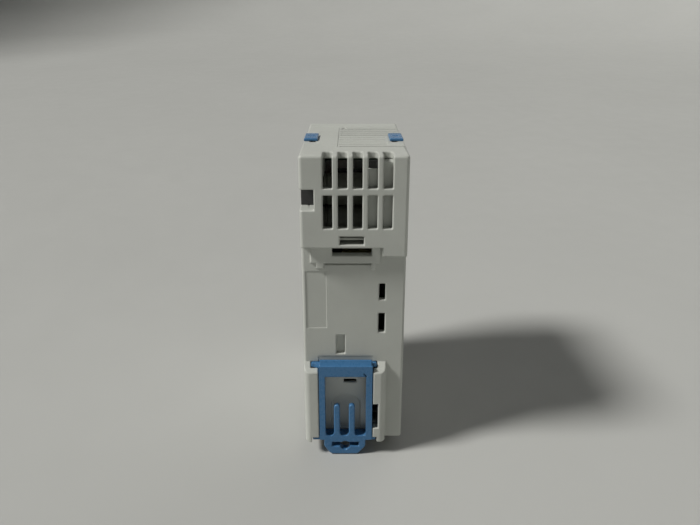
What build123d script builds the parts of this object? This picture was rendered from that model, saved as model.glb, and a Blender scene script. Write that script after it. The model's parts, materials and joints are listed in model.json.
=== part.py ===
"""DIN rail power supply: a slim 30 mm wide module that hooks on the 35 mm top-hat rail.

Frame: X across the width, +Y from the rail towards the front, +Z up.
Origin: the centre of the rail seat, on the plane where the rail's flanges lie.
"""

import os

from build123d import *

# Driving dimensions, in millimetres
WIDTH = 30.0
HEIGHT = 90.0
DEPTH = 60.0
SEAT_DEPTH = 3.2  # the rail seat lies this far in front of the rearmost plane
RAIL_HEIGHT = 35.0
WALL = 2.0
REAR_WALL = 2.4
COVER_DEPTH = 8.0
FIT = 0.1  # gap between parts that slide or plug together

# Places that follow from them
HALF_W = WIDTH / 2
HALF_H = HEIGHT / 2
REAR = -SEAT_DEPTH
FRONT = DEPTH - SEAT_DEPTH
SPLIT = FRONT - COVER_DEPTH
INNER_X = HALF_W - WALL
INNER_Z = HALF_H - WALL

# Rail hook and clip
LIP_THICK = 1.4
LEFT_LIP_Z = 19.0  # underside of the upper block beside the hook
HOOK_Z = 16.5  # underside of the hook, 1 mm below the rail's top edge
HOOK_X = 8.0
RAIL_TOP_Z = RAIL_HEIGHT / 2 + 0.4
SEAT_RELIEF = 0.1  # the floor under the hook and the clip's jaw lies this much deeper than the seat
JAW_SEAT_Z = -RAIL_HEIGHT / 2 - 0.5
JAW_CREST_Z = -16.8
LOWER_BLOCK = (-HALF_W, 9.8)
LOWER_BLOCK_Z = -20.6
RAMP_TOP_Z = -18.2
CLIP_X = (-10.5, 5.7)
CLIP_MID_X = sum(CLIP_X) / 2
CLIP_WINDOW_X = (-8.7, 3.8)
CLIP_WINDOW_Z = (-42.8, -22.0)
CLIP_EARS_X = (-12.8, 7.0)
FINGER_Y = (REAR + 0.1, -1.6)
EAR_REAR = -1.4
EAR_Z = (RAMP_TOP_Z - 1.4, RAMP_TOP_Z - 0.1)
CLIP_TRAVEL = 4.0
CLIP_FLOOR = 1.2  # depth of the clip's channel in front of the seat plane
CLIP_FINGERS = ((-6.05, -4.25), (-1.45, 0.35))
CLIP_FINGER_TIP_Z = -31.8
TAB_BOTTOM_Z = -49.4

# Vents
VENT_X = [-7.25 + 4.13 * column for column in range(5)]
VENT_WIDTH = 2.6
SLIT_WIDTH = 1.0
SLIT_PITCH = 4.1
SLIT_COUNT = 9
SLIT_FIRST_Y = 11.2
SLIT_LEFT_X = -4.7

# Top latches
LATCH_TRAVEL = 4.0
LATCH_PAD_Y = (20.3, 30.5)
LATCH_PAD_TOP = HALF_H + 0.7
LATCH_SEAT = 0.15  # depth of the runway that the pad slides in
LATCH_PAD_X = (10.8, 14.9)
LATCH_STEM_X = (11.6, 12.9)
LATCH_STEM_Y = (23.5, 27.4)

# Terminals
POLE_PITCH = 5.08
OUTPUT_POLES = [(index - 1.5) * POLE_PITCH for index in range(4)]
INPUT_POLES = [(index - 1.0) * 1.25 * POLE_PITCH for index in range(3)]
TERMINAL_Z = 33.9
TERMINAL_SIZE = (21.6, 15.3, 13.8)
WIRE_OFFSET = 3.1
BUTTON_SIZE = (3.0, 9.0, 2.8)
BUTTON_TRAVEL = 1.6
CHAMBER_Y = (42.8, 50.0)

# Boards
MAIN_BOARD_X = (-11.6, -10.0)
MAIN_BOARD_Y = (5.0, 39.2)
BOARD_Z = (-40.0, 38.5)
FRONT_BOARD_Y = (39.4, 41.0)
PART_X = MAIN_BOARD_X[1] + 0.05  # underside of the parts on the main board

# Controls on the front
INDICATOR = (-8.0, 9.0)
TRIMMER = (-8.0, -4.0)

# Planes that face the rail (local X is X, local Y is Z; extruding goes rearwards) and the side
REARWARD = Plane((0, 0, 0), x_dir=(1, 0, 0), z_dir=(0, -1, 0))
SIDEWARD = Plane((0, 0, 0), x_dir=(0, 1, 0), z_dir=(1, 0, 0))


def facing_rear(y):
    """Plane at depth y whose normal points to the rail."""
    return REARWARD.offset(-y)


def block(x, y, z, mode=Mode.ADD):
    """Box between two coordinates on each axis, in the part being built."""
    centre = tuple(sum(span) / 2 for span in (x, y, z))
    with Locations(centre):
        return Box(*(max(span) - min(span) for span in (x, y, z)), mode=mode)


def rod(centre, radius, length, axis="X", mode=Mode.ADD):
    """Cylinder along X, Y or Z, centred on a point."""
    turn = {"X": (0, 90, 0), "Y": (90, 0, 0), "Z": (0, 0, 0)}[axis]
    with Locations(centre):
        return Cylinder(radius, length, rotation=turn, mode=mode)


def save(piece, name):
    """Label a finished piece and write its STEP file."""
    piece.part.label = name
    export_step(piece.part, f"parts/{name}.step")


os.makedirs("parts", exist_ok=True)

# ---------------------------------------------------------------- rear housing
with BuildPart() as rear_housing:
    # Body from the seat plane forwards, then the two blocks that stand behind it
    with BuildSketch(Plane.XY.offset(-HALF_H)):
        with Locations((0, SPLIT / 2)):
            outline = Rectangle(WIDTH, SPLIT)
        fillet(outline.vertices().group_by(Axis.Y)[0], 0.8)
    extrude(amount=HEIGHT)
    with BuildSketch(Plane.XY.offset(LEFT_LIP_Z)):
        with Locations((0, REAR / 2 + 1)):
            outline = Rectangle(WIDTH, SEAT_DEPTH + 2)
        fillet(outline.vertices().group_by(Axis.Y)[0], 1.0)
    extrude(amount=HALF_H - LEFT_LIP_Z)
    with BuildSketch(Plane.XY.offset(HOOK_Z)):
        with Locations(((HOOK_X + HALF_W) / 2, REAR / 2 + 1)):
            outline = Rectangle(HALF_W - HOOK_X, SEAT_DEPTH + 2)
        fillet(outline.vertices().group_by(Axis.Y)[0].sort_by(Axis.X)[-1], 1.0)
    extrude(amount=LEFT_LIP_Z - HOOK_Z + 1)
    with BuildSketch(Plane.XY.offset(-HALF_H)):
        with Locations((sum(LOWER_BLOCK) / 2, REAR / 2 + 1)):
            outline = Rectangle(LOWER_BLOCK[1] - LOWER_BLOCK[0], SEAT_DEPTH + 2)
        fillet(outline.vertices().group_by(Axis.Y)[0], 1.8)
    extrude(amount=RAMP_TOP_Z + HALF_H)
    with BuildSketch(SIDEWARD.offset(-HALF_W - 1)):
        with BuildLine():
            Polyline(
                (REAR - 1, LOWER_BLOCK_Z - 0.75),
                (0, RAMP_TOP_Z),
                (0, RAMP_TOP_Z + 1),
                (REAR - 1, RAMP_TOP_Z + 1),
                close=True,
            )
        make_face()
    extrude(amount=WIDTH + 2, mode=Mode.SUBTRACT)
    top_edges = rear_housing.edges().group_by(Axis.Z)[-1].sort_by(Axis.Y)[:-1]
    fillet(top_edges, 0.8)

    # Cavity, and its shallow step into the upper block
    block((-INNER_X, INNER_X), (REAR_WALL, SPLIT + 1), (-INNER_Z, INNER_Z), Mode.SUBTRACT)
    block((-12.5, 12.5), (-0.7, REAR_WALL + 1), (23.0, INNER_Z), Mode.SUBTRACT)

    # Hook: a slot behind the lip takes the rail's top flange
    block((HOOK_X, HALF_W + 1), (REAR + LIP_THICK, 0), (HOOK_Z - 1, RAIL_TOP_Z), Mode.SUBTRACT)
    block((HOOK_X - 0.5, HALF_W + 1), (-0.1, SEAT_RELIEF), (HOOK_Z - 0.5, RAIL_TOP_Z), Mode.SUBTRACT)

    # Moulded spring bridge that presses the flange against the lip, and its two feet
    block((-12.4, 7.5), (-0.8, 0.2), (13.7, LEFT_LIP_Z + 0.5))
    block((-10.8, -8.6), (-0.8, 0.2), (12.0, 14.0))
    block((5.0, 6.2), (-0.8, 0.2), (11.6, 14.0))
    block((-6.2, 5.1), (-1, REAR_WALL + 1), (16.0, LEFT_LIP_Z), Mode.SUBTRACT)
    block((-8.4, 5.0), (-0.1, 0.6), (12.9, 13.5), Mode.SUBTRACT)

    # Notch in the left edge, open to the cavity
    block((-HALF_W - 1, -11.0), (REAR - 1, 3.2), (29.9, 35.7), Mode.SUBTRACT)

    # Vent columns: the upper row wraps over the top edge
    for column in VENT_X:
        with BuildSketch(facing_rear(REAR - 1)):
            with Locations((column, 29.4)):
                RectangleRounded(VENT_WIDTH, 9.4, 0.3)
        extrude(amount=-(SEAT_DEPTH + 0.6), mode=Mode.SUBTRACT)
        with BuildSketch(facing_rear(REAR - 1)):
            with Locations((column, 42.0)):
                RectangleRounded(VENT_WIDTH, 12.0, 0.3)
        extrude(amount=-(SEAT_DEPTH + 0.6), mode=Mode.SUBTRACT)
        with BuildSketch(Plane.XY.offset(INNER_Z - 0.2)):
            with Locations((column, -0.95)):
                RectangleRounded(VENT_WIDTH, 8.1, 0.9)
        extrude(amount=WALL + 1, mode=Mode.SUBTRACT)

    # Cable-tie slot under the vents and three pockets in the rail seat
    block((-4.0, 2.8), (REAR - 1, REAR_WALL + 0.1), (20.0, 22.4), Mode.SUBTRACT)
    block((-4.1, 2.9), (-1.6, -0.6), (20.9, 21.6))
    block((7.4, 9.2), (-1, REAR_WALL + 1), (2.0, 7.1), Mode.SUBTRACT)
    block((7.3, 9.2), (-1, REAR_WALL + 1), (-8.5, -2.3), Mode.SUBTRACT)
    block((-5.2, -2.6), (-1, 1.4), (-15.6, -9.4), Mode.SUBTRACT)
    block((-14.0, -8.0), (-1, 0.15), (-7.0, 11.0), Mode.SUBTRACT)

    # Channel for the clip, with side grooves for its ears
    channel_x = (CLIP_X[0] - 0.2, CLIP_X[1] + 0.2)
    channel_z = (-HALF_H - 1, RAMP_TOP_Z)
    groove_x = (CLIP_EARS_X[0] - 0.2, CLIP_EARS_X[1] + 0.2)
    ear_run_z = (EAR_Z[0] - CLIP_TRAVEL - 0.2, RAMP_TOP_Z)
    block(channel_x, (REAR - 1, CLIP_FLOOR), channel_z, Mode.SUBTRACT)
    block(groove_x, (-0.6, CLIP_FLOOR), channel_z, Mode.SUBTRACT)
    block(groove_x, (EAR_REAR - 0.2, CLIP_FLOOR), ear_run_z, Mode.SUBTRACT)
    block(channel_x, (-0.1, SEAT_RELIEF), (RAMP_TOP_Z - 0.1, JAW_CREST_Z + 0.4), Mode.SUBTRACT)
    for notch in ((CLIP_EARS_X[0] - 0.2, CLIP_X[0]), (CLIP_X[1], CLIP_EARS_X[1] + 0.2)):
        block(notch, (REAR - 1, 0), (-HALF_H - 1, -43.3), Mode.SUBTRACT)
    block((CLIP_X[1], 7.5), (REAR - 1, REAR_WALL + 1), (-39.9, -31.4), Mode.SUBTRACT)
    block((-3.0, 0.9), (0, REAR_WALL + 1), (-26.2, -25.1), Mode.SUBTRACT)
    with BuildSketch(facing_rear(CLIP_FLOOR - 0.5)):
        with BuildLine():
            Polyline((-6.9, -33.5), (-6.9, -42.4), (2.1, -42.4), (2.1, -33.5))
            ThreePointArc((-6.9, -33.5), (CLIP_MID_X, -30.6), (2.1, -33.5))
        make_face()
    extrude(amount=-1.1, mode=Mode.SUBTRACT)

    # Vent panel on the top: a shallow tray with slits that run to the right edge
    block((SLIT_LEFT_X, HALF_W + 1), (10.3, 46.3), (HALF_H - 0.12, HALF_H + 1), Mode.SUBTRACT)
    block((-3.6, -2.4), (45.6, 46.8), (HALF_H - 1.2, HALF_H + 1), Mode.SUBTRACT)
    for index in range(SLIT_COUNT):
        slit_y = SLIT_FIRST_Y + index * SLIT_PITCH
        beside_latch = LATCH_PAD_Y[0] - LATCH_TRAVEL - 2 < slit_y < LATCH_PAD_Y[1] + 1
        slit_end = LATCH_PAD_X[0] - 0.9 if beside_latch else HALF_W + 1
        slit_span = (slit_y - SLIT_WIDTH / 2, slit_y + SLIT_WIDTH / 2)
        block((SLIT_LEFT_X + 0.6, slit_end), slit_span, (INNER_Z - 0.2, HALF_H + 1), Mode.SUBTRACT)
        block((-9.8, 9.8), slit_span, (-HALF_H - 1, 0.2 - INNER_Z), Mode.SUBTRACT)

    # Runways and stem slots of the two latches, and pockets for the cover's barbs
    for side in (-1, 1):
        block(
            (side * (LATCH_PAD_X[0] - 0.2), side * (HALF_W + 1)),
            (LATCH_PAD_Y[0] - LATCH_TRAVEL - 0.2, LATCH_PAD_Y[1] + 0.2),
            (HALF_H - LATCH_SEAT, HALF_H + 1),
            Mode.SUBTRACT,
        )
        block(
            (side * (LATCH_STEM_X[0] - FIT), side * (LATCH_STEM_X[1] + FIT)),
            (LATCH_STEM_Y[0] - LATCH_TRAVEL - FIT, LATCH_STEM_Y[1] + FIT),
            (INNER_Z - 0.2, HALF_H + 1),
            Mode.SUBTRACT,
        )
        block((side * 11.5, side * INNER_X), (28.3, 29.7), (INNER_Z - 0.1, INNER_Z + 0.8), Mode.SUBTRACT)

    # Guides for the main board, below and above
    guide_x = (-INNER_X, MAIN_BOARD_X[1] + 1.5)
    slot_x = (MAIN_BOARD_X[0] - FIT, MAIN_BOARD_X[1] + FIT)
    block(guide_x, (6.0, 36.0), (-INNER_Z, BOARD_Z[0] + 1.2))
    block(slot_x, (4.0, 37.0), (BOARD_Z[0] - FIT, BOARD_Z[0] + 2), Mode.SUBTRACT)
    block(guide_x, (6.0, 17.5), (BOARD_Z[1] - 1.2, INNER_Z))
    block(slot_x, (4.0, 18.5), (BOARD_Z[1] - 2, BOARD_Z[1] + FIT), Mode.SUBTRACT)

    # Shallow label recesses in the side walls
    for side in (-1, 1):
        block((side * (HALF_W - 0.3), side * (HALF_W + 1)), (8.0, 42.0), (-30.0, 30.0), Mode.SUBTRACT)
save(rear_housing, "rear_housing")

# ---------------------------------------------------------------- baffle behind the right-hand vents
BAFFLE_Y = (-0.65, 0.85)
BAFFLE_STEP_X = 7.2
with BuildPart() as vent_baffle:
    block((3.3, BAFFLE_STEP_X), BAFFLE_Y, (23.1, 40.9))
    block((BAFFLE_STEP_X, 12.4), BAFFLE_Y, (23.1, INNER_Z - 0.1))
    block((BAFFLE_STEP_X, 12.4), (0, 4.5), (INNER_Z - 1.5, INNER_Z - 0.1))
save(vent_baffle, "vent_baffle")

# ---------------------------------------------------------------- rail clip
with BuildPart() as rail_clip:
    # Frame with its window, side rails and the bar that carries the fingers
    with BuildSketch(facing_rear(CLIP_FLOOR - 0.2)):
        with Locations((CLIP_MID_X, (JAW_SEAT_Z - 0.4 - 44.4) / 2)):
            Rectangle(CLIP_X[1] - CLIP_X[0], JAW_SEAT_Z - 0.4 + 44.4)
        with Locations((sum(CLIP_WINDOW_X) / 2, sum(CLIP_WINDOW_Z) / 2)):
            Rectangle(
                CLIP_WINDOW_X[1] - CLIP_WINDOW_X[0],
                CLIP_WINDOW_Z[1] - CLIP_WINDOW_Z[0],
                mode=Mode.SUBTRACT,
            )
    extrude(amount=CLIP_FLOOR - 0.2 - REAR - 0.05)

    # Snap jaw: a ramp that the rail's lower edge rides over, and the seat behind its crest
    with BuildSketch(SIDEWARD.offset(CLIP_X[0] + 0.3)):
        with BuildLine():
            Polyline(
                (REAR + 0.05, -21.0),
                (REAR + 0.05, LOWER_BLOCK_Z + 0.5),
                (-1.9, JAW_CREST_Z - 0.1),
                (-1.6, JAW_CREST_Z),
                (-1.25, JAW_CREST_Z - 0.3),
                (-1.25, JAW_SEAT_Z),
                (-0.1, JAW_SEAT_Z),
                (-0.1, -21.0),
                close=True,
            )
        make_face()
    extrude(amount=CLIP_X[1] - CLIP_X[0] - 0.6)

    # Two spring fingers, flush with the frame, between valleys with rounded corners
    valleys = (CLIP_WINDOW_X[0], *CLIP_FINGERS[0], *CLIP_FINGERS[1], CLIP_WINDOW_X[1])
    with BuildSketch(facing_rear(FINGER_Y[1])) as comb:
        with Locations((sum(CLIP_WINDOW_X) / 2, (CLIP_WINDOW_Z[0] - 0.5 + CLIP_FINGER_TIP_Z) / 2)):
            Rectangle(CLIP_WINDOW_X[1] - CLIP_WINDOW_X[0], CLIP_FINGER_TIP_Z - CLIP_WINDOW_Z[0] + 0.5)
        for left, right in zip(valleys[::2], valleys[1::2]):
            with Locations(((left + right) / 2, CLIP_WINDOW_Z[0] + 10)):
                RectangleRounded(right - left, 20, 1.15, mode=Mode.SUBTRACT)
        fillet(comb.vertices().group_by(Axis.Y)[-1], 0.85)
    extrude(amount=FINGER_Y[1] - FINGER_Y[0])
    for left, right in CLIP_FINGERS:
        rod(((left + right) / 2, FINGER_Y[1], CLIP_FINGER_TIP_Z - 0.85), 0.6, right - left - 0.3)

    # Relief cut beside the window's corner
    with Locations(Location((3.5, REAR, -21.35), (0, -38, 0))):
        Box(0.35, 1.4, 1.5, mode=Mode.SUBTRACT)

    # Ears and feet that run in the side grooves
    block(CLIP_EARS_X, (EAR_REAR, CLIP_FLOOR - 0.2), EAR_Z)
    for foot in ((CLIP_EARS_X[0], CLIP_X[0] + 0.5), (CLIP_X[1] - 0.5, CLIP_EARS_X[1])):
        block(foot, (-1.6, CLIP_FLOOR - 0.2), (-45.3, -43.7))

    # Pull tab with a keyhole for a screwdriver
    with BuildSketch(facing_rear(-0.6)):
        with BuildLine():
            Polyline(
                (-9.15, -43.5),
                (-9.15, -46.6),
                (-7.1, TAB_BOTTOM_Z),
                (1.3, TAB_BOTTOM_Z),
                (3.75, -46.6),
                (3.75, -43.5),
                close=True,
            )
        tab = make_face()
        fillet(tab.vertices().group_by(Axis.Y)[:-1], 1.6)
        with Locations((-2.55, -45.75)):
            Rectangle(8.4, 1.6, mode=Mode.SUBTRACT)
        with Locations((-2.65, -46.2)):
            Circle(1.6, mode=Mode.SUBTRACT)
    extrude(amount=-0.6 - REAR - 0.05)
save(rail_clip, "rail_clip")

# ---------------------------------------------------------------- top latches
for side, name in ((-1, "top_latch_left"), (1, "top_latch_right")):
    pad_x = (side * LATCH_PAD_X[0], side * LATCH_PAD_X[1])
    stem_x = (side * LATCH_STEM_X[0], side * LATCH_STEM_X[1])
    with BuildPart() as latch:
        block(pad_x, LATCH_PAD_Y, (HALF_H - LATCH_SEAT + 0.05, LATCH_PAD_TOP))
        fillet(latch.edges().group_by(Axis.Z)[-1], 0.3)
        nail_x = (sum(pad_x) / 2 - 1, sum(pad_x) / 2 + 1)
        block(nail_x, (25.0, 25.8), (LATCH_PAD_TOP - 0.3, LATCH_PAD_TOP + 1), Mode.SUBTRACT)
        block(stem_x, LATCH_STEM_Y, (39.6, HALF_H))
        block(stem_x, (LATCH_STEM_Y[0], 30.0), (39.6, 41.0))
    save(latch, name)

# ---------------------------------------------------------------- front cover
with BuildPart() as front_cover:
    block((-HALF_W, HALF_W), (SPLIT, FRONT), (-HALF_H, HALF_H))
    fillet(front_cover.faces().sort_by(Axis.Y)[-1].edges(), 1.2)
    fillet(front_cover.edges().filter_by(Axis.Y), 0.6)
    block((-INNER_X, INNER_X), (SPLIT - 1, FRONT - WALL), (-INNER_Z, INNER_Z), Mode.SUBTRACT)

    # Tongue that plugs into the rear housing
    tongue_x, tongue_z = INNER_X - FIT, INNER_Z - FIT
    block((-tongue_x, tongue_x), (SPLIT - 3, SPLIT + 1), (-tongue_z, tongue_z))
    block((-INNER_X, INNER_X), (SPLIT, SPLIT + 1.5), (-INNER_Z, INNER_Z))
    tongue_hole = ((1.2 - tongue_x, tongue_x - 1.2), (1.2 - tongue_z, tongue_z - 1.2))
    block(tongue_hole[0], (SPLIT - 4, SPLIT + 2), tongue_hole[1], Mode.SUBTRACT)

    # Snap arms along the top, with a barb each
    for side in (-1, 1):
        block((side * 11.6, side * 12.8), (27.6, SPLIT), (41.2, 42.7))
        block((side * 11.6, side * 12.8), (28.5, 29.5), (42.0, INNER_Z + 0.6))
        block((side * 11.6, side * 12.8), (SPLIT - 1, SPLIT + 2), (41.2, 42.95))

    # Openings for the terminal blocks, the light pipe and the trimmer, and a label recess
    for side in (-1, 1):
        block(
            (-TERMINAL_SIZE[0] / 2 - 0.2, TERMINAL_SIZE[0] / 2 + 0.2),
            (FRONT - WALL - 1, FRONT + 1),
            [side * (TERMINAL_Z + end * (TERMINAL_SIZE[2] / 2 + 0.2)) for end in (-1, 1)],
            Mode.SUBTRACT,
        )
    rod((INDICATOR[0], FRONT, INDICATOR[1]), 1.6, 8, "Y", Mode.SUBTRACT)
    rod((TRIMMER[0], FRONT, TRIMMER[1]), 2.4, 8, "Y", Mode.SUBTRACT)
    block((-3.0, 12.0), (FRONT - 0.3, FRONT + 1), (-20.0, 20.0), Mode.SUBTRACT)
save(front_cover, "front_cover")

# ---------------------------------------------------------------- terminals
TERMINAL_Y = (FRONT - 0.1 - TERMINAL_SIZE[1], FRONT - 0.1)
BUTTON_Y = (TERMINAL_Y[1] - BUTTON_SIZE[1], TERMINAL_Y[1])
PIN_SIZE = 0.8


def pole_places(poles, side):
    """Points of one terminal block's poles, side +1 above and -1 below: wire, button."""
    wire_z = side * (TERMINAL_Z + WIRE_OFFSET)
    button_z = side * (TERMINAL_Z - WIRE_OFFSET)
    return [(x, wire_z, button_z) for x in poles]


for name, poles, side in (("output", OUTPUT_POLES, 1), ("input", INPUT_POLES, -1)):
    places = pole_places(poles, side)
    half_z = TERMINAL_SIZE[2] / 2
    with BuildPart() as terminal_block:
        block(
            (-TERMINAL_SIZE[0] / 2, TERMINAL_SIZE[0] / 2),
            TERMINAL_Y,
            (side * (TERMINAL_Z - half_z), side * (TERMINAL_Z + half_z)),
        )
        fillet(terminal_block.faces().sort_by(Axis.Y)[-1].edges(), 0.4)
        for x, wire_z, button_z in places:
            chamber_z = (side * (TERMINAL_Z - half_z + 1.2), side * (TERMINAL_Z + half_z - 1.2))
            block((x - 2.0, x + 2.0), CHAMBER_Y, chamber_z, Mode.SUBTRACT)
            button_x = (x - BUTTON_SIZE[0] / 2 - FIT, x + BUTTON_SIZE[0] / 2 + FIT)
            button_span = (button_z - BUTTON_SIZE[2] / 2 - FIT, button_z + BUTTON_SIZE[2] / 2 + FIT)
            block(button_x, (CHAMBER_Y[1] - 1, FRONT + 1), button_span, Mode.SUBTRACT)
            # Square wire entry that narrows inwards
            with BuildSketch(facing_rear(TERMINAL_Y[1])):
                with Locations((x, wire_z)):
                    RectangleRounded(4.0, 4.0, 0.8)
            with BuildSketch(facing_rear(TERMINAL_Y[1] - 2.5)):
                with Locations((x, wire_z)):
                    RectangleRounded(2.8, 2.8, 0.5)
            loft(mode=Mode.SUBTRACT)
            wire_hole = ((x - 1.4, x + 1.4), (wire_z - 1.4, wire_z + 1.4))
            block(wire_hole[0], (CHAMBER_Y[1] - 1, TERMINAL_Y[1] - 2.4), wire_hole[1], Mode.SUBTRACT)
            block(
                (x - PIN_SIZE, x + PIN_SIZE),
                (TERMINAL_Y[0] - 1, CHAMBER_Y[0] + 1),
                (wire_z - PIN_SIZE / 2 - FIT, wire_z + PIN_SIZE / 2 + FIT),
                Mode.SUBTRACT,
            )
    save(terminal_block, f"{name}_terminal_block")

    # Release buttons with a screwdriver slot and a wedge nose
    for index, (x, wire_z, button_z) in enumerate(places, start=1):
        with BuildPart() as button:
            block(
                (x - BUTTON_SIZE[0] / 2, x + BUTTON_SIZE[0] / 2),
                BUTTON_Y,
                (button_z - BUTTON_SIZE[2] / 2, button_z + BUTTON_SIZE[2] / 2),
            )
            fillet(button.faces().sort_by(Axis.Y)[-1].edges(), 0.3)
            chamfer(button.faces().sort_by(Axis.Y)[0].edges().filter_by(Axis.X), 0.9)
            slot_z = (button_z - 0.3, button_z + 0.3)
            block((x - 0.9, x + 0.9), (BUTTON_Y[1] - 0.7, FRONT + 1), slot_z, Mode.SUBTRACT)
        save(button, f"{name}_release_{index}")

    # Clamp springs: a leaf under each button that is bent back over the current bar
    with BuildPart() as clamp_springs:
        for x, wire_z, button_z in places:
            with BuildSketch(SIDEWARD.offset(x - 1.4)):
                with BuildLine() as leaf:
                    Polyline(
                        (43.3, wire_z - side * 1.0),
                        (43.3, button_z - side * 1.0),
                        (BUTTON_Y[0] - 0.3, button_z - side * 1.0),
                        (BUTTON_Y[0] - 0.3, button_z + side * 0.8),
                        (44.6, wire_z - side * 0.9),
                    )
                trace(line_width=0.35)
            extrude(amount=2.8)
    save(clamp_springs, f"{name}_clamp_springs")

    # Current bars, with a pin each through the terminal's back into the front board
    with BuildPart() as busbars:
        for x, wire_z, button_z in places:
            block((x - 1.4, x + 1.4), (CHAMBER_Y[0] + 0.1, 49.0), (wire_z + side * 1.5, wire_z + side * 2.3))
            plate_z = (wire_z + side * 2.3, wire_z - side * 0.4)
            tail_z = (wire_z - 0.4, wire_z + 0.4)
            block((x - 1.4, x + 1.4), (CHAMBER_Y[0] + 0.1, CHAMBER_Y[0] + 0.4), plate_z)
            block((x - 0.4, x + 0.4), (FRONT_BOARD_Y[0] - 0.9, CHAMBER_Y[0] + 0.4), tail_z)
    save(busbars, f"{name}_busbars")

# ---------------------------------------------------------------- boards
PIN_ROW_Z = [-34.0, -31.46, -28.92, -8.0, 8.0, 28.92, 31.46, 34.0]
with BuildPart() as front_board:
    block((-12.5, 12.5), FRONT_BOARD_Y, BOARD_Z)
    for poles, side in ((OUTPUT_POLES, 1), (INPUT_POLES, -1)):
        for x, wire_z, button_z in pole_places(poles, side):
            rod((x, FRONT_BOARD_Y[0], wire_z), 0.7, 8, "Y", Mode.SUBTRACT)
save(front_board, "front_board")

with BuildPart() as main_board:
    block(MAIN_BOARD_X, MAIN_BOARD_Y, BOARD_Z)
save(main_board, "main_board")

with BuildPart() as board_pins:
    for z in PIN_ROW_Z:
        block((PART_X, PART_X + 0.6), (35.0, FRONT_BOARD_Y[0] - 0.05), (z - 0.3, z + 0.3))
save(board_pins, "board_pins")

# ---------------------------------------------------------------- indicator and trimmer
with BuildPart() as status_led:
    rod((INDICATOR[0], 43.1, INDICATOR[1]), 1.5, 4.0, "Y")
    rod((INDICATOR[0], 41.6, INDICATOR[1]), 1.9, 1.0, "Y")
    fillet(status_led.edges().sort_by(Axis.Y)[-1], 1.2)
save(status_led, "status_led")

with BuildPart() as light_pipe:
    rod((INDICATOR[0], (45.4 + FRONT) / 2, INDICATOR[1]), 1.5, FRONT - 45.4, "Y")
    rod((INDICATOR[0], FRONT - WALL - 0.65, INDICATOR[1]), 2.2, 1.2, "Y")
    fillet(light_pipe.edges().sort_by(Axis.Y)[-1], 0.3)
save(light_pipe, "light_pipe")

TRIMMER_BODY_Y = (FRONT_BOARD_Y[1] + 0.05, 46.6)
with BuildPart() as trimmer_body:
    block((TRIMMER[0] - 3.2, TRIMMER[0] + 3.2), TRIMMER_BODY_Y, (TRIMMER[1] - 3.2, TRIMMER[1] + 3.2))
    rod((TRIMMER[0], TRIMMER_BODY_Y[1], TRIMMER[1]), 1.25, 6, "Y", Mode.SUBTRACT)
save(trimmer_body, "trimmer_body")

with BuildPart() as trimmer_rotor:
    rod((TRIMMER[0], 46.0, TRIMMER[1]), 1.2, 4.5, "Y")
    rod((TRIMMER[0], (47.0 + FRONT - 0.8) / 2, TRIMMER[1]), 2.0, FRONT - 0.8 - 47.0, "Y")
    blade_z = (TRIMMER[1] - 0.35, TRIMMER[1] + 0.35)
    block((TRIMMER[0] - 3, TRIMMER[0] + 3), (FRONT - 1.8, FRONT), blade_z, Mode.SUBTRACT)
save(trimmer_rotor, "trimmer_rotor")

# ---------------------------------------------------------------- parts on the main board
with BuildPart() as mains_fuse:
    block((PART_X, PART_X + 8.0), (30.0, 34.0), (-38.0, -29.6))
    fillet(mains_fuse.faces().sort_by(Axis.X)[-1].edges(), 0.6)
save(mains_fuse, "mains_fuse")

DISCS = (
    ("varistor", 5.0, 3.6, (32.8, -23.4)),
    ("inrush_thermistor", 4.4, 4.0, (33.0, -12.6)),
    ("y_capacitor", 3.4, 2.4, (37.0, 19.0)),
)
for name, radius, thick, (y, z) in DISCS:
    with BuildPart() as disc:
        rod((PART_X + 1.2 + radius, y, z), radius, thick, "Y")
        fillet(disc.edges().filter_by(GeomType.CIRCLE), 0.9)
        for lead in (-1, 1):
            lead_z = z + lead * 1.6
            block((PART_X, PART_X + 2.2), (y - 0.25, y + 0.25), (lead_z - 0.25, lead_z + 0.25))
    save(disc, name)

with BuildPart() as x_capacitor:
    block((PART_X, PART_X + 11.0), (9.5, 15.5), (-38.6, -22.4))
    fillet(x_capacitor.faces().sort_by(Axis.X)[-1].edges(), 0.5)
save(x_capacitor, "x_capacitor")

CHOKE = (-2.4, 22.5, -30.4)
with BuildPart() as choke_core:
    rod(CHOKE, 6.2, 5.0, "Y")
    rod(CHOKE, 3.8, 6.0, "Y", Mode.SUBTRACT)
save(choke_core, "choke_core")

with BuildPart() as choke_winding:
    rod(CHOKE, 7.2, 7.2, "Y")
    rod(CHOKE, 2.8, 8.0, "Y", Mode.SUBTRACT)
    rod(CHOKE, 6.25, 5.1, "Y", Mode.SUBTRACT)
    rod(CHOKE, 3.75, 5.1, "Y")
    rod(CHOKE, 2.8, 8.0, "Y", Mode.SUBTRACT)
    gap_z = (CHOKE[2] - 1.6, CHOKE[2] + 1.6)
    block((CHOKE[0] - 8, CHOKE[0] + 8), (CHOKE[1] - 5, CHOKE[1] + 5), gap_z, Mode.SUBTRACT)
save(choke_winding, "choke_winding")

with BuildPart() as bridge_rectifier:
    block((PART_X + 2.0, PART_X + 12.0), (8.0, 11.4), (-20.6, -6.6))
    for index in range(4):
        lead_z = -18.6 + index * 10.0 / 3
        block((PART_X, PART_X + 2.5), (9.4, 10.0), (lead_z - 0.4, lead_z + 0.4))
save(bridge_rectifier, "bridge_rectifier")


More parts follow.
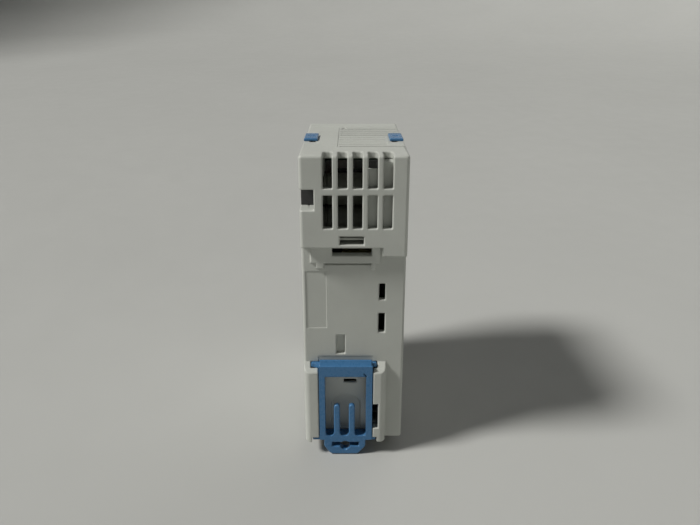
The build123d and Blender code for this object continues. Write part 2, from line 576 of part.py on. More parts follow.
def can(centre, radius, length):
    """Electrolytic can that stands on the main board: crimp groove and rounded top."""
    y, z = centre
    with BuildSketch(Plane((PART_X, y, z), x_dir=(1, 0, 0), z_dir=(0, 0, 1))) as profile:
        with BuildLine():
            Polyline((0, 0), (0, radius), (1.4, radius))
            ThreePointArc((1.4, radius), (1.9, radius - 0.35), (2.4, radius))
            Polyline((2.4, radius), (length - 0.6, radius), (length, radius - 0.6), (length, 0), (0, 0))
        make_face()
    revolve(profile.sketch, axis=Axis((PART_X, y, z), (1, 0, 0)))


with BuildPart() as bulk_capacitor:
    can((21.6, -13.2), 6.25, 21.6)
save(bulk_capacitor, "bulk_capacitor")

with BuildPart() as output_capacitors:
    for z in (22.5, 32.3):
        can((11.8, z), 4.8, 20.0)
save(output_capacitors, "output_capacitors")

# Transformer: bobbin, winding round the centre leg, and the core around both
CORE_Y = (17.0, 23.0)
with BuildPart() as transformer_core:
    block((-7.4, 9.8), CORE_Y, (-4.0, 16.0))
    for window in ((-0.8, 3.6), (8.4, 12.8)):
        block((-4.4, 6.8), (CORE_Y[0] - 1, CORE_Y[1] + 1), window, Mode.SUBTRACT)
save(transformer_core, "transformer_core")

with BuildPart() as transformer_winding:
    block((-3.6, 6.0), (12.8, 27.2), (-0.7, 12.7))
    fillet(transformer_winding.edges().filter_by(Axis.X), 1.5)
    block((-4, 7), (CORE_Y[0] - 0.1, CORE_Y[1] + 0.1), (3.5, 8.5), Mode.SUBTRACT)
save(transformer_winding, "transformer_winding")

with BuildPart() as transformer_bobbin:
    block((PART_X + 0.6, -7.5), (11.6, 28.4), (-4.6, 16.6))
    for y in (12.6, 27.4):
        for index in range(4):
            pin_z = -2.5 + index * 5.6
            block((PART_X, PART_X + 0.8), (y - 0.3, y + 0.3), (pin_z - 0.3, pin_z + 0.3))
save(transformer_bobbin, "transformer_bobbin")

HEATSINKS = (
    ("primary_heatsink", "switching_transistor", (-4.0, 14.0), 5.0),
    ("secondary_heatsink", "output_rectifier", (19.5, 36.5), 29.0),
)
SINK_Y = (33.4, 34.8)
for sink_name, device_name, sink_z, device_z in HEATSINKS:
    with BuildPart() as heatsink:
        block((PART_X, 9.4), SINK_Y, sink_z)
        block((8.0, 9.4), (29.4, SINK_Y[1]), sink_z)
    save(heatsink, sink_name)
    with BuildPart() as device:
        block((-6.2, 2.8), (29.0, SINK_Y[0] - 1.2), (device_z - 5.0, device_z + 5.0))
        block((-6.2, 6.6), (SINK_Y[0] - 1.3, SINK_Y[0] - 0.05), (device_z - 5.0, device_z + 5.0))
        rod((5.0, SINK_Y[0] - 0.6, device_z), 1.8, 3, "Y", Mode.SUBTRACT)
        for lead in (-2.54, 0, 2.54):
            block((PART_X, -6.0), (30.2, 30.7), (device_z + lead - 0.35, device_z + lead + 0.35))
    save(device, device_name)

INDUCTOR = (23.2, 29.4)
with BuildPart() as inductor_core:
    for x, radius, length in ((-9.3, 5.6, 1.2), (-4.6, 2.4, 9.0), (0.5, 5.6, 1.2)):
        rod((x, *INDUCTOR), radius, length)
save(inductor_core, "inductor_core")

with BuildPart() as inductor_winding:
    rod((-4.4, *INDUCTOR), 4.9, 8.4)
    rod((-4.4, *INDUCTOR), 2.45, 9.0, mode=Mode.SUBTRACT)
save(inductor_winding, "inductor_winding")

CHIPS = (
    ("optocoupler", 3.2, (20.0, 26.4), (17.9, 22.3)),
    ("controller_chip", 1.6, (29.8, 33.0), (15.4, 19.0)),
)
for name, tall, y_span, z_span in CHIPS:
    with BuildPart() as chip:
        block((PART_X + 0.2, PART_X + 0.2 + tall), y_span, z_span)
        for row_z in (z_span[0] - 0.5, z_span[1] + 0.5):
            for row_y in (y_span[0] + 0.8, y_span[1] - 0.8):
                block((PART_X, PART_X + 0.5), (row_y - 0.25, row_y + 0.25), (row_z - 0.55, row_z + 0.55))
    save(chip, name)
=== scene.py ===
"""Looks of the DIN rail power supply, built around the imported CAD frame.

The frame is in metres with +Z up and the rail at -Y. Lengths written in millimetres are
multiplied by MM.
"""

import json
import math

import bmesh
import bpy
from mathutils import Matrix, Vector
from mathutils.bvhtree import BVHTree
from mathutils.geometry import intersect_line_line_2d

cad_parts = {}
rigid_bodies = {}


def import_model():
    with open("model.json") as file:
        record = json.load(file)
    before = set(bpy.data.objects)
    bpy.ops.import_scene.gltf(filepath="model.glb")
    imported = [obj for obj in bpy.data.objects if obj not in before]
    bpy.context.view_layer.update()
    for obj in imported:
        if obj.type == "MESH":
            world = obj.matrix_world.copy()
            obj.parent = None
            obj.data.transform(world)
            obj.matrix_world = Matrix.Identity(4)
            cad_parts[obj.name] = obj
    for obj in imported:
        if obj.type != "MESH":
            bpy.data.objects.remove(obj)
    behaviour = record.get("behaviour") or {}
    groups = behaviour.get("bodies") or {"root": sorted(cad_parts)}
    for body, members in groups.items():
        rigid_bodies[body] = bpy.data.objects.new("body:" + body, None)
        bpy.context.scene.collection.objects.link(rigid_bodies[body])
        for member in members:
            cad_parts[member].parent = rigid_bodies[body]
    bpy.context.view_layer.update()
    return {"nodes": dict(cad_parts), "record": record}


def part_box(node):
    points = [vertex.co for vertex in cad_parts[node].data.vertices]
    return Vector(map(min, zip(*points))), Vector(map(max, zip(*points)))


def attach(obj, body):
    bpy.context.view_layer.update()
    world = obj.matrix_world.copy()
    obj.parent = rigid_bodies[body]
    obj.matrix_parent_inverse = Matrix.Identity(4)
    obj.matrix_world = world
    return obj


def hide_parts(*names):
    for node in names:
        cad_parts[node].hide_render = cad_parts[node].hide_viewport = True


MM = 0.001
MICRON = 0.001 * MM

# Camera, in millimetres and degrees
CAMERA_PLACE = (-1.1, -173.4, 77.5)
CAMERA_DIP = 20.2
SENSOR_WIDTH = 36.0
LENS = 33.2

# Studio sweep, in metres
SWEEP_FLAT_RADIUS = 1.2
SWEEP_BEND_RADIUS = 0.8
SWEEP_WALL_TOP = 1.2
SWEEP_BEND_STEPS = 8

# Where the part touches the floor at rest, in millimetres: from the rear of the case to the
# clip's tab, and from the front of the cover to the edge it stands on
TAB_FOOT_Y = -0.6
FRONT_FOOT_INSET = 0.9

# Sockets of a colour Mix node: factor, the two colours and the result
MIX_INPUTS = (0, 6, 7)
MIX_OUTPUT = 2

# Widest rounding of each moulded piece, in millimetres
ROUNDING = {
    "rear_housing": 0.32,
    "front_cover": 0.25,
    "rail_clip": 0.28,
    "vent_baffle": 0.20,
    "top_latch_left": 0.15,
    "top_latch_right": 0.15,
    "output_terminal_block": 0.15,
    "input_terminal_block": 0.15,
    **{f"output_release_{pole}": 0.18 for pole in (1, 2, 3, 4)},
    **{f"input_release_{pole}": 0.18 for pole in (1, 2, 3)},
}

# Angles between faces: joined as flat below the first, rounded above the second, and
# shaded as a crease above the third
FLAT_ANGLE = math.radians(1)
SHARP_ANGLE = math.radians(35)
CREASE_ANGLE = math.radians(40)

# Share of the narrower face beside an edge that its rounding may take
ROOM_SHARE = 0.4

# In widths of the rounding: the stretch of an edge that tapers, how far from the rounded
# edges a point is stray, and how near to a fault the rounding is left out at first
TAPER = 2.5
STRAY_REACH = 1.6
MEND_REACH = 2.2
MEND_ATTEMPTS = 10

# Faces of the case that carry labels and print, and how thick these are, in millimetres
SIDE_RECESS_X = 14.7
FRONT_RECESS_Y = 56.5
FRONT_Y = 56.8
FOIL = 0.10
INK = 0.03
INK_WIDTH = 0.22
RAISED_PRINT = 0.05

# Marks on the front, in millimetres and degrees
OUTPUT_MARKS_Z = 24.5
INPUT_MARKS_Z = -24.5
OUTPUT_POLES = (-7.62, -2.54, 2.54, 7.62)
INPUT_POLES = (-6.35, 0.0, 6.35)
TRIMMER = (-8.0, -4.0)
TRIMMER_TURN = 130
TICKS = 9

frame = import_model()
nodes = frame["nodes"]
scene = bpy.context.scene


# ---------------------------------------------------------------- camera, light and floor
def add_camera():
    """Camera behind the module, looking down at the rail side, as in the photograph."""
    data = bpy.data.cameras.new("camera")
    data.sensor_width = SENSOR_WIDTH
    data.lens = LENS
    data.clip_start = 0.001
    data.clip_end = 20.0
    camera = bpy.data.objects.new("camera", data)
    camera.location = Vector(CAMERA_PLACE) * MM
    camera.rotation_euler = (math.radians(90 - CAMERA_DIP), 0, 0)
    scene.collection.objects.link(camera)
    scene.camera = camera


def add_sun(name, toward, strength, spread, colour):
    """Distant soft light that comes from a direction; spread is its apparent width in degrees."""
    data = bpy.data.lights.new(name, "SUN")
    data.energy = strength
    data.angle = math.radians(spread)
    data.color = colour
    light = bpy.data.objects.new(name, data)
    light.rotation_euler = Vector(toward).to_track_quat("Z", "Y").to_euler()
    scene.collection.objects.link(light)


def add_floor(place, lean):
    """Pale studio sweep: a round floor that curves up into a low wall far away on every side."""
    profile = [(0.0, 0.0), (SWEEP_FLAT_RADIUS / 3, 0.0), (SWEEP_FLAT_RADIUS, 0.0)]
    for step in range(1, SWEEP_BEND_STEPS + 1):
        turn = math.radians(90 * step / SWEEP_BEND_STEPS)
        radius = SWEEP_FLAT_RADIUS + SWEEP_BEND_RADIUS * math.sin(turn)
        profile.append((radius, SWEEP_BEND_RADIUS * (1 - math.cos(turn))))
    profile.append((SWEEP_FLAT_RADIUS + SWEEP_BEND_RADIUS, SWEEP_WALL_TOP))
    mesh = bpy.data.meshes.new("floor")
    shape = bmesh.new()
    rim = [shape.verts.new((radius, 0, height)) for radius, height in profile]
    edges = [shape.edges.new(pair) for pair in zip(rim, rim[1:])]
    bmesh.ops.spin(
        shape,
        geom=rim + edges,
        cent=(0, 0, 0),
        axis=(0, 0, 1),
        angle=math.tau,
        steps=64,
        use_merge=True,
    )
    bmesh.ops.remove_doubles(shape, verts=shape.verts, dist=MM)
    bmesh.ops.recalc_face_normals(shape, faces=shape.faces)
    shape.to_mesh(mesh)
    shape.free()
    mesh.shade_smooth()
    floor = bpy.data.objects.new("floor", mesh)
    floor.location = place
    floor.rotation_euler = (lean, 0, 0)
    scene.collection.objects.link(floor)
    mesh.materials.append(floor_material())


def add_stage():
    """Floor under the clip's tab and the case's front edge, and soft light from the upper left."""
    tab_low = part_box("rail_clip")[0]
    cover_low, cover_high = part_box("front_cover")
    rear_foot = Vector((0, TAB_FOOT_Y * MM, tab_low.z))
    front_foot = Vector((0, cover_high.y - FRONT_FOOT_INSET * MM, cover_low.z))
    lean = math.atan2(front_foot.z - rear_foot.z, front_foot.y - rear_foot.y)
    add_floor(rear_foot, lean)

    add_sun("key", (-0.68, -0.18, 0.72), 3.1, 12, (1.0, 0.985, 0.95))
    add_sun("fill", (-0.05, -1.0, 0.36), 0.08, 8, (0.92, 0.97, 1.0))
    add_sun("front_fill", (0.60, 1.0, 0.60), 0.95, 45, (1.0, 0.99, 0.97))
    world = bpy.data.worlds.new("world")
    world.use_nodes = True
    background = world.node_tree.nodes["Background"]
    background.inputs["Color"].default_value = (0.84, 0.87, 0.87, 1)
    background.inputs["Strength"].default_value = 0.07
    scene.world = world
    scene.view_settings.view_transform = "Standard"


# ---------------------------------------------------------------- materials
class Graph:
    """Short way to build a shader tree: nodes by type, links by socket name."""

    def __init__(self, name="surface"):
        self.material = bpy.data.materials.new(name)
        self.material.use_nodes = True
        self.tree = self.material.node_tree
        self.shader = self.tree.nodes["Principled BSDF"]

    def node(self, kind, **settings):
        """Add a node of a kind and set its properties."""
        new = self.tree.nodes.new("ShaderNode" + kind)
        for key, value in settings.items():
            setattr(new, key, value)
        return new

    def link(self, source, target):
        self.tree.links.new(source, target)

    def value(self, socket, number):
        """Set a socket of the surface shader to a number."""
        self.shader.inputs[socket].default_value = number

    def feed(self, socket, source):
        """Drive a socket of the surface shader from another node."""
        self.link(source, self.shader.inputs[socket])

    def noise(self, scale, detail=3.0, rough=0.5, stretch=(1, 1, 1)):
        """Noise in object space: scale is in features per metre."""
        coords = self.node("TexCoord")
        mapping = self.node("Mapping")
        mapping.inputs["Scale"].default_value = stretch
        texture = self.node("TexNoise")
        texture.inputs["Scale"].default_value = scale
        texture.inputs["Detail"].default_value = detail
        texture.inputs["Roughness"].default_value = rough
        self.link(coords.outputs["Object"], mapping.inputs["Vector"])
        self.link(mapping.outputs["Vector"], texture.inputs["Vector"])
        return texture.outputs["Fac"]

    def remap(self, source, low, high, to_low, to_high):
        """Stretch the range from low to high on to the range from to_low to to_high."""
        ramp = self.node("MapRange")
        ends = {"From Min": low, "From Max": high, "To Min": to_low, "To Max": to_high}
        for key, number in ends.items():
            ramp.inputs[key].default_value = number
        self.link(source, ramp.inputs["Value"])
        return ramp.outputs["Result"]

    def scaled(self, source, factor):
        """Multiply a value by a fixed factor."""
        node = self.node("Math", operation="MULTIPLY")
        node.inputs[1].default_value = factor
        self.link(source, node.inputs[0])
        return node.outputs[0]

    def mix(self, factor, first, second):
        """Mix two colours; each is a socket or an RGB triple."""
        mixer = self.node("Mix", data_type="RGBA")
        for index, value in zip(MIX_INPUTS, (factor, first, second)):
            socket = mixer.inputs[index]
            if isinstance(value, bpy.types.NodeSocket):
                self.link(value, socket)
            elif isinstance(value, tuple):
                socket.default_value = (*value, 1)
            else:
                socket.default_value = value
        return mixer.outputs[MIX_OUTPUT]

    def soft_edges(self, radius):
        """Normal rounded over the sharp edges, and a mask that is 1 along them."""
        bevel = self.node("Bevel", samples=6)
        bevel.inputs["Radius"].default_value = radius
        geometry = self.node("NewGeometry")
        dot = self.node("VectorMath", operation="DOT_PRODUCT")
        self.link(bevel.outputs["Normal"], dot.inputs[0])
        self.link(geometry.outputs["Normal"], dot.inputs[1])
        mask = self.remap(dot.outputs["Value"], 0.999, 0.9, 0.0, 1.0)
        return bevel.outputs["Normal"], mask

    def bump(self, height, strength, distance, normal=None):
        """Fine relief in the surface, on top of a normal if one is given."""
        node = self.node("Bump")
        node.inputs["Strength"].default_value = strength
        node.inputs["Distance"].default_value = distance
        self.link(height, node.inputs["Height"])
        if normal is not None:
            self.link(normal, node.inputs["Normal"])
        self.feed("Normal", node.outputs["Normal"])


def moulded_plastic(colour, rough, grain=6000, depth=0.35, edge=0.25, mottle=0.025):
    """Injection-moulded plastic: fine spark-eroded grain, faint mottling, edges rubbed lighter."""
    graph = Graph()
    normal, mask = graph.soft_edges(0.28 * MM)
    cloud = graph.noise(90, 4, 0.6)
    speck = graph.noise(2600, 2, 0.6)
    dark = tuple(c * (1 - mottle) for c in colour)
    light = tuple(min(1, c * (1 + mottle)) for c in colour)
    base = graph.mix(graph.remap(cloud, 0.35, 0.65, 0, 1), dark, light)
    spots = tuple(c * 0.86 for c in colour)
    base = graph.mix(graph.remap(speck, 0.60, 0.72, 0, 0.25), base, spots)
    rubbed = tuple(min(1, c * 1.15 + 0.04) for c in colour)
    worn = graph.node("Math", operation="MULTIPLY")
    graph.link(mask, worn.inputs[0])
    graph.link(graph.remap(graph.noise(420, 3, 0.7), 0.4, 0.7, edge * 0.3, edge), worn.inputs[1])
    base = graph.mix(worn.outputs[0], base, rubbed)
    graph.feed("Base Color", base)
    gloss = graph.remap(graph.noise(700, 3, 0.6), 0.3, 0.7, rough - 0.05, rough + 0.06)
    graph.feed("Roughness", gloss)
    graph.value("Specular IOR Level", 0.45)
    graph.bump(graph.noise(grain, 2, 0.6), depth, 0.03 * MM, normal)
    return graph.material


def smooth_part(colour, rough, coat=0.0, grain=1800, depth=0.06, mottle=0.08):
    """Small smooth moulded or dipped part: faint ripple in the gloss and slight colour drift."""
    graph = Graph()
    normal, mask = graph.soft_edges(0.2 * MM)
    cloud = graph.remap(graph.noise(260, 3, 0.55), 0.35, 0.65, 0, 1)
    dark = tuple(c * (1 - mottle) for c in colour)
    light = tuple(min(1, c * (1 + mottle) + 0.004) for c in colour)
    base = graph.mix(cloud, dark, light)
    rubbed = tuple(min(1, c * 1.2 + 0.05) for c in colour)
    base = graph.mix(graph.scaled(mask, 0.25), base, rubbed)
    graph.feed("Base Color", base)
    gloss = graph.remap(graph.noise(900, 3, 0.6), 0.3, 0.7, rough - 0.04, rough + 0.07)
    graph.feed("Roughness", gloss)
    graph.value("Coat Weight", coat)
    graph.value("Coat Roughness", 0.12)
    graph.bump(graph.noise(grain, 2, 0.5), depth, 0.05 * MM, normal)
    return graph.material


def drawn_metal(colour, rough, stretch=(1, 1, 40), scratches=0.25, tarnish=(0.5, 0.48, 0.44)):
    """Rolled or drawn metal: lines along one direction, dull patches, bright edges."""
    graph = Graph()
    normal, mask = graph.soft_edges(0.12 * MM)
    lines = graph.noise(900, 4, 0.65, stretch)
    patch = graph.remap(graph.noise(160, 4, 0.6), 0.45, 0.75, 0.0, 0.45)
    base = graph.mix(patch, colour, tarnish)
    grooves = tuple(c * 0.8 for c in colour)
    base = graph.mix(graph.remap(lines, 0.3, 0.7, 0.0, 0.22), base, grooves)
    graph.feed("Base Color", graph.mix(graph.scaled(mask, 0.35), base, (0.95, 0.94, 0.92)))
    graph.value("Metallic", 1.0)
    graph.feed("Roughness", graph.remap(lines, 0.3, 0.7, rough - 0.07, rough + 0.12))
    graph.bump(lines, scratches, 0.02 * MM, normal)
    return graph.material


def enamelled_wire():
    """Copper wire under clear enamel: slight darkening from turn to turn."""
    graph = Graph()
    drift = graph.remap(graph.noise(500, 3, 0.6), 0.35, 0.65, 0, 1)
    graph.feed("Base Color", graph.mix(drift, (0.50, 0.17, 0.05), (0.72, 0.30, 0.10)))
    graph.value("Metallic", 0.85)
    gloss = graph.remap(graph.noise(1200, 2, 0.5), 0.3, 0.7, 0.18, 0.34)
    graph.feed("Roughness", gloss)
    graph.value("Coat Weight", 0.6)
    graph.value("Coat Roughness", 0.15)
    graph.bump(graph.noise(2200, 2, 0.5), 0.08, 0.03 * MM)
    return graph.material


def clear_plastic(colour, rough, transmission, ior=1.5):
    """Moulded lens: mostly clear, with a faint haze and flow lines in the surface."""
    graph = Graph()
    haze = graph.remap(graph.noise(600, 3, 0.5), 0.3, 0.7, 0, 1)
    graph.feed("Base Color", graph.mix(haze, tuple(c * 0.92 for c in colour), colour))
    graph.value("Transmission Weight", transmission)
    graph.value("IOR", ior)
    graph.feed("Roughness", graph.remap(haze, 0, 1, rough, rough + 0.08))
    graph.bump(graph.noise(800, 2, 0.5), 0.05, 0.03 * MM)
    return graph.material


def board_material():
    """Green solder mask over copper: darker bare areas and lighter, slightly raised tracks."""
    graph = Graph()
    coords = graph.node("TexCoord")
    bricks = graph.node("TexBrick", offset=0.37, offset_frequency=3, squash=0.6, squash_frequency=4)
    layout = {
        "Scale": 210.0,
        "Mortar Size": 0.012,
        "Mortar Smooth": 0.1,
        "Row Height": 0.32,
        "Brick Width": 1.9,
    }
    for key, number in layout.items():
        bricks.inputs[key].default_value = number
    mapping = graph.node("Mapping")
    mapping.inputs["Rotation"].default_value = (math.radians(90), 0, math.radians(90))
    graph.link(coords.outputs["Object"], mapping.inputs["Vector"])
    graph.link(mapping.outputs["Vector"], bricks.inputs["Vector"])
    tracks = bricks.outputs["Fac"]
    cloud = graph.remap(graph.noise(300, 3, 0.5), 0.35, 0.65, 0, 1)
    mask = graph.mix(cloud, (0.012, 0.12, 0.05), (0.018, 0.16, 0.065))
    graph.feed("Base Color", graph.mix(tracks, mask, (0.05, 0.28, 0.11)))
    graph.feed("Roughness", graph.remap(graph.noise(2500, 2, 0.5), 0.3, 0.7, 0.22, 0.38))
    graph.value("Coat Weight", 0.3)
    graph.bump(tracks, 0.35, 0.03 * MM)
    return graph.material


def sintered():
    """Ferrite: dark grey, dry, with tiny pits and chipped edges."""
    graph = Graph()
    normal, mask = graph.soft_edges(0.2 * MM)
    pits = graph.noise(3200, 4, 0.7)
    grain = graph.remap(pits, 0.35, 0.6, 0, 1)
    base = graph.mix(grain, (0.070, 0.070, 0.072), (0.115, 0.113, 0.112))
    graph.feed("Base Color", graph.mix(graph.scaled(mask, 0.5), base, (0.14, 0.14, 0.14)))
    graph.feed("Roughness", graph.remap(pits, 0.3, 0.7, 0.5, 0.75))
    graph.bump(pits, 0.5, 0.05 * MM, normal)
    return graph.material


def floor_material():
    """Pale studio paper: very faint clouds and a fine tooth."""
    graph = Graph("floor_paper")
    cloud = graph.remap(graph.noise(9, 3, 0.5), 0.3, 0.7, 0, 1)
    graph.feed("Base Color", graph.mix(cloud, (0.448, 0.453, 0.438), (0.462, 0.467, 0.452)))
    graph.feed("Roughness", graph.remap(graph.noise(60, 3, 0.5), 0.3, 0.7, 0.6, 0.75))
    graph.bump(graph.noise(1500, 3, 0.6), 0.1, 0.05 * MM)
    return graph.material


def build_materials():
    """One material for each slot of the record, named after the slot."""
    made = {
        "housing_plastic": moulded_plastic((0.50, 0.515, 0.48), 0.46, edge=0.15),
        "blue_plastic": moulded_plastic((0.055, 0.170, 0.345), 0.28, grain=9000, depth=0.08),
        "terminal_plastic": moulded_plastic((0.055, 0.058, 0.060), 0.48, depth=0.25, edge=0.15),
        "trimmer_plastic": smooth_part((0.012, 0.045, 0.22), 0.32),
        "rotor_plastic": smooth_part((0.70, 0.70, 0.66), 0.40, mottle=0.02),
        "fuse_case": smooth_part((0.012, 0.012, 0.013), 0.28),
        "blue_epoxy": smooth_part((0.015, 0.075, 0.30), 0.22, coat=0.5, grain=700, depth=0.12),
        "dark_epoxy": smooth_part((0.070, 0.082, 0.066), 0.34, coat=0.3, grain=700, depth=0.12),
        "film_capacitor_case": smooth_part((0.26, 0.25, 0.22), 0.40),
        "moulding_compound": smooth_part((0.045, 0.045, 0.046), 0.55, grain=5000, depth=0.3),
        "capacitor_can": smooth_part((0.165, 0.170, 0.140), 0.34, coat=0.2),
        "winding_tape": smooth_part((0.30, 0.24, 0.10), 0.34, coat=0.3, grain=600, depth=0.2),
        "ferrite": sintered(),
        "copper_wire": enamelled_wire(),
        "circuit_board": board_material(),
        "green_lens": clear_plastic((0.10, 0.62, 0.16), 0.18, 0.75),
        "clear_lens": clear_plastic((0.50, 0.82, 0.56), 0.14, 0.60, 1.58),
        "spring_steel": drawn_metal((0.60, 0.60, 0.58), 0.26),
        "tinned_copper": drawn_metal((0.72, 0.70, 0.64), 0.36, (1, 40, 1)),
        "heatsink_aluminium": drawn_metal((0.78, 0.78, 0.79), 0.34, (1, 40, 1), 0.35),
    }
    for slot, material in made.items():
        material.name = slot
    return made


def dress_frame(materials):
    """Give each carried-over CAD node the material of its record slot."""
    slots = {row["node"]: row["material_slot"] for row in frame["record"]["subparts"]}
    for name, obj in nodes.items():
        material = materials.get(slots[name], materials["housing_plastic"])
        obj.data.materials.clear()
        obj.data.materials.append(material)


# ---------------------------------------------------------------- moulded pieces with rounded edges
def body_of(node):
    """Name of the body that a CAD node rides on."""
    return nodes[node].parent.name.removeprefix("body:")


def face_depth(face, edge):
    """How far a face reaches from one of its edges."""
    start, end = (vert.co for vert in edge.verts)
    along = (end - start).normalized()
    reach = 0
    for vert in face.verts:
        offset = vert.co - start
        reach = max(reach, (offset - along * offset.dot(along)).length)
    return reach


def split_near_tight_ends(shape, room, tight, widest):
    """Cut a short stretch off a long edge where its neighbours leave less room.

    Only that stretch tapers then.
    """
    stretch = TAPER * widest
    for side in (0, 1):
        for edge in [edge for edge in shape.edges if edge[room] > 0]:
            vert = edge.verts[side]
            width_here = min(edge[room], widest)
            if edge.calc_length() > 3 * stretch and vert[tight] < 0.9 * width_here:
                middle = bmesh.utils.edge_split(edge, vert, stretch / edge.calc_length())[1]
                middle[tight] = width_here


def edge_tree(shape, room):
    """Search tree over the edges that get rounded, each as a hair-thin triangle."""
    points, triangles = [], []
    for edge in shape.edges:
        if edge[room] > 0:
            start, end = (vert.co for vert in edge.verts)
            triangles.append([len(points), len(points) + 1, len(points) + 2])
            points += [start, end, (start + end) / 2 + Vector((1, 1, 1)) * MICRON / 2]
    return BVHTree.FromPolygons(points, triangles)


def place_key(point):
    """Point as whole micrometres, to recognise a corner that didn't move."""
    return tuple(round(value / MICRON) for value in point)


def crossings(outline, normal):
    """Points where the outline of a face crosses itself."""
    across = normal.orthogonal().normalized()
    up = normal.cross(across)
    flat = [Vector((point.dot(across), point.dot(up))) for point in outline]
    count = len(flat)
    found = []
    for first in range(count - 2):
        for second in range(first + 2, count - (first == 0)):
            ends = flat[first], flat[first + 1], flat[second], flat[(second + 1) % count]
            meeting = intersect_line_line_2d(*ends)
            if meeting is not None and min((meeting - end).length for end in ends) > MICRON / 2:
                share = (meeting - ends[0]).length / (ends[1] - ends[0]).length
                found.append(outline[first].lerp(outline[first + 1], share))
    return found


def faults(piece, tree, kept, reach):
    """Places where the rounding went wrong.

    They are beside points too far from every rounded edge, and where outlines cross.
    """
    shaped = piece.evaluated_get(bpy.context.evaluated_depsgraph_get()).to_mesh()
    points = [vert.co.copy() for vert in shaped.vertices]
    far = {
        index
        for index, point in enumerate(points)
        if place_key(point) not in kept and tree.find_nearest(point)[3] > reach
    }
    wrong = []
    for first, second in (edge.vertices for edge in shaped.edges):
        if (first in far) != (second in far):
            wrong.append(points[second if first in far else first])
    for polygon in shaped.polygons:
        if len(polygon.vertices) > 3:
            wrong += crossings([points[index] for index in polygon.vertices], polygon.normal)
    return wrong


def rounded_copy(node, width):
    """Copy of a CAD node whose sharp edges are really rounded.

    An edge is rounded less where the faces beside it are narrow, and not at all near a
    place where rounding it goes wrong.
    """
    mesh = nodes[node].data.copy()
    mesh.name = node + "_rounded"
    widest = width * MM
    shape = bmesh.new()
    shape.from_mesh(mesh)
    bmesh.ops.remove_doubles(shape, verts=shape.verts, dist=MICRON)
    bmesh.ops.dissolve_limit(shape, angle_limit=FLAT_ANGLE, verts=shape.verts, edges=shape.edges)
    room = shape.edges.layers.float.new("room")
    tight = shape.verts.layers.float.new("tight")
    weights = shape.edges.layers.float.new("bevel_weight_edge")
    for vert in shape.verts:
        vert[tight] = widest
    for edge in shape.edges:
        if edge.is_manifold and edge.calc_face_angle(0) > SHARP_ANGLE:
            edge[room] = ROOM_SHARE * min(face_depth(face, edge) for face in edge.link_faces)
            for vert in edge.verts:
                vert[tight] = min(vert[tight], edge[room])
    split_near_tight_ends(shape, room, tight, widest)

    piece = bpy.data.objects.new(node + "_rounded", mesh)
    scene.collection.objects.link(piece)
    bevel = piece.modifiers.new("rounding", "BEVEL")
    bevel.width = widest
    bevel.segments = 2
    bevel.limit_method = "WEIGHT"
    bevel.use_clamp_overlap = False
    bevel.loop_slide = False
    tree = edge_tree(shape, room)
    kept = {place_key(vert.co) for vert in shape.verts}
    for attempt in range(MEND_ATTEMPTS):
        for edge in shape.edges:
            if edge[room] > 0:
                edge[weights] = min(edge[room], *(vert[tight] for vert in edge.verts)) / widest
        shape.to_mesh(mesh)
        wrong = faults(piece, tree, kept, STRAY_REACH * widest)
        if not wrong:
            break
        reach = (MEND_REACH + attempt) * widest
        for vert in shape.verts:
            if any((vert.co - point).length < reach for point in wrong):
                vert[tight] = 0.0
    shape.free()
    mesh.shade_smooth()
    mesh.set_sharp_from_angle(angle=CREASE_ANGLE)
    normals = piece.modifiers.new("flat_faces", "WEIGHTED_NORMAL")
    normals.keep_sharp = True
    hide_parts(node)
    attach(piece, body_of(node))


# ---------------------------------------------------------------- labels, marks and the painted shade in the notch
def rounded_rectangle(low, high, radius, steps=5):
    """Outline of a rectangle between two corners, with rounded corners."""
    corners = (
        (high[0], high[1], 0),
        (low[0], high[1], 90),
        (low[0], low[1], 180),
        (high[0], low[1], 270),
    )
    points = []
    for across, up, start in corners:
        centre = (
            across + (radius if across == low[0] else -radius),
            up + (radius if up == low[1] else -radius),
        )
        for step in range(steps + 1):
            turn = math.radians(start + 90 * step / steps)
            offset = (radius * math.cos(turn), radius * math.sin(turn))
            points.append((centre[0] + offset[0], centre[1] + offset[1]))
    return points


def bar(low, high):
    """Outline of a plain rectangle between two corners."""
    return [low, (high[0], low[1]), high, (low[0], high[1])]


def plus_mark(centre, reach, half):
    """Outline of a plus sign."""
    points = []
    corner = [(half, reach), (-half, reach), (-half, half)]
    for _ in range(4):
        points += corner
        corner = [(-up, across) for across, up in corner]
    return [(centre[0] + across, centre[1] + up) for across, up in points]


def wave_mark(centre, reach, half, steps=10):
    """Outline of a sine mark for mains poles."""
    upper, lower = [], []
    for step in range(steps + 1):
        share = 2 * step / steps - 1
        height = 0.45 * reach * math.sin(math.pi * share)
        upper.append((centre[0] + reach * share, centre[1] + height + half))
        lower.append((centre[0] + reach * share, centre[1] + height - half))
    return lower + upper[::-1]


def earth_mark(centre, half):
    """Outlines of an earth sign: a stem over three bars that get shorter."""
    across, up = centre
    outlines = []
    for level, width in ((0.0, 1.0), (-0.55, 0.66), (-1.1, 0.3)):
        low = (across - width, up + level - half)
        high = (across + width, up + level + half)
        outlines.append(bar(low, high))
    outlines.append(bar((across - half, up + 0.14), (across + half, up + 1.1)))
    return outlines


def tick_mark(centre, turn, inner, outer, half):
    """Outline of a short line that points away from a centre, at an angle in radians."""
    cos, sin = math.cos(turn), math.sin(turn)
    corners = ((inner, -half), (outer, -half), (outer, half), (inner, half))
    return [
        (centre[0] + radius * cos - beside * sin, centre[1] + radius * sin + beside * cos)
        for radius, beside in corners
    ]


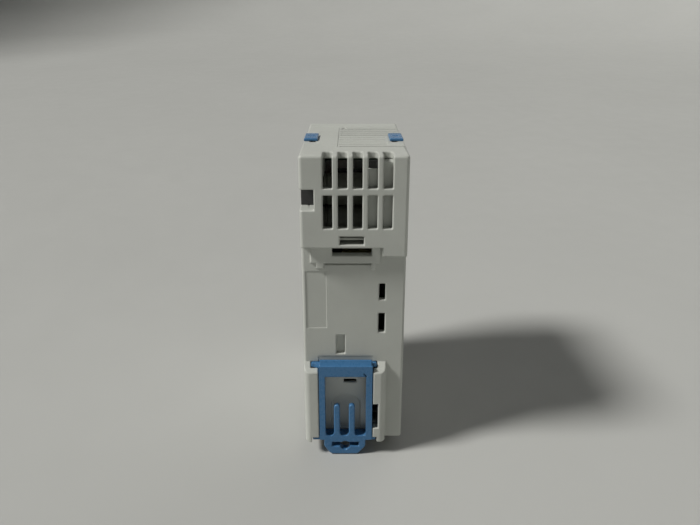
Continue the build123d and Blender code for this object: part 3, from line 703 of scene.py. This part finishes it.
def thin_piece(name, outlines, axis, near, far, slot):
    """Flat piece across an axis, from depth near to depth far, made of outlines (millimetres)."""
    mesh = bpy.data.meshes.new(name)
    shape = bmesh.new()
    for outline in outlines:
        if axis == "X":
            points = [(near, across, up) for across, up in outline]
        else:
            points = [(across, near, up) for across, up in outline]
        face = shape.faces.new([shape.verts.new(Vector(point) * MM) for point in points])
        grown = bmesh.ops.extrude_face_region(shape, geom=[face], use_keep_orig=True)
        push = Vector((far - near, 0, 0)) if axis == "X" else Vector((0, far - near, 0))
        moved = [item for item in grown["geom"] if isinstance(item, bmesh.types.BMVert)]
        bmesh.ops.translate(shape, verts=moved, vec=push * MM)
    bmesh.ops.recalc_face_normals(shape, faces=shape.faces)
    shape.to_mesh(mesh)
    shape.free()
    piece = bpy.data.objects.new(name, mesh)
    scene.collection.objects.link(piece)
    mesh.materials.append(materials[slot])
    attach(piece, "housing")


def ruled_lines(start, end, levels):
    """Outlines of thin level lines from start to end."""
    return [bar((start, level), (end, level + INK_WIDTH)) for level in levels]


def add_label(name, low, high, radius, lines, axis, depth, outward):
    """Blank label between two corners, at the depth of a recess, and the lines printed on it."""
    top = depth + outward * FOIL
    printed = depth + outward * (FOIL + INK)
    outline = rounded_rectangle(low, high, radius)
    thin_piece("label_" + name, [outline], axis, depth, top, "rotor_plastic")
    thin_piece("label_print_" + name, lines, axis, top, printed, "terminal_plastic")


def add_labels():
    """Labels in the recesses of both sides and the front, with ruled print and no lettering."""
    lines = ruled_lines(11.0, 39.0, (-22, -10, 2, 14, 22))
    lines.append(bar((24.9, -9.5), (24.9 + INK_WIDTH, 1.8)))
    for name, side in (("left", -1), ("right", 1)):
        add_label(name, (9.0, -29.0), (41.0, 29.0), 1.2, lines, "X", side * SIDE_RECESS_X, side)
    lines = ruled_lines(-1.4, 10.4, (-14, -2, 10))
    add_label("front", (-2.6, -19.6), (11.6, 19.6), 0.9, lines, "Y", FRONT_RECESS_Y, 1)


def add_front_marks():
    """Pole signs beside the terminals and the scale ring of the trimmer, as raised print."""
    reach, half = 0.95, 0.17
    marks = [plus_mark((across, OUTPUT_MARKS_Z), reach, half) for across in OUTPUT_POLES[:2]]
    for across in OUTPUT_POLES[2:]:
        low = (across - reach, OUTPUT_MARKS_Z - half)
        high = (across + reach, OUTPUT_MARKS_Z + half)
        marks.append(bar(low, high))
    marks += [wave_mark((across, INPUT_MARKS_Z), reach, half) for across in INPUT_POLES[:2]]
    marks += earth_mark((INPUT_POLES[2], INPUT_MARKS_Z), 0.12)
    for step in range(TICKS):
        turn = math.radians(90 + TRIMMER_TURN * (2 * step / (TICKS - 1) - 1))
        marks.append(tick_mark(TRIMMER, turn, 3.0, 3.8, 0.1))
    thin_piece("front_marks", marks, "Y", FRONT_Y, FRONT_Y + RAISED_PRINT, "terminal_plastic")


def add_notch_shade_sheet():
    """Dark sheet that paints the shade inside the notch in the left edge, and the ledge under it.
    """
    shade_sheet_near, shade_sheet_far, ledge_near = 2.9, 3.15, -0.75
    shade_sheet = rounded_rectangle((-14.85, 30.0), (-11.05, 35.6), 0.15, 2)
    ledge = bar((-12.45, 29.3), (-11.0, 29.9))
    # The dark sheet is painted shade: it stands in for the shadow inside the notch
    thin_piece("notch_sheet", [shade_sheet], "Y", shade_sheet_near, shade_sheet_far, "moulding_compound")
    thin_piece("notch_ledge", [ledge], "Y", ledge_near, shade_sheet_far, "housing_plastic")


add_camera()
materials = build_materials()
dress_frame(materials)
for node, width in ROUNDING.items():
    rounded_copy(node, width)
add_labels()
add_front_marks()
add_notch_shade_sheet()
add_stage()
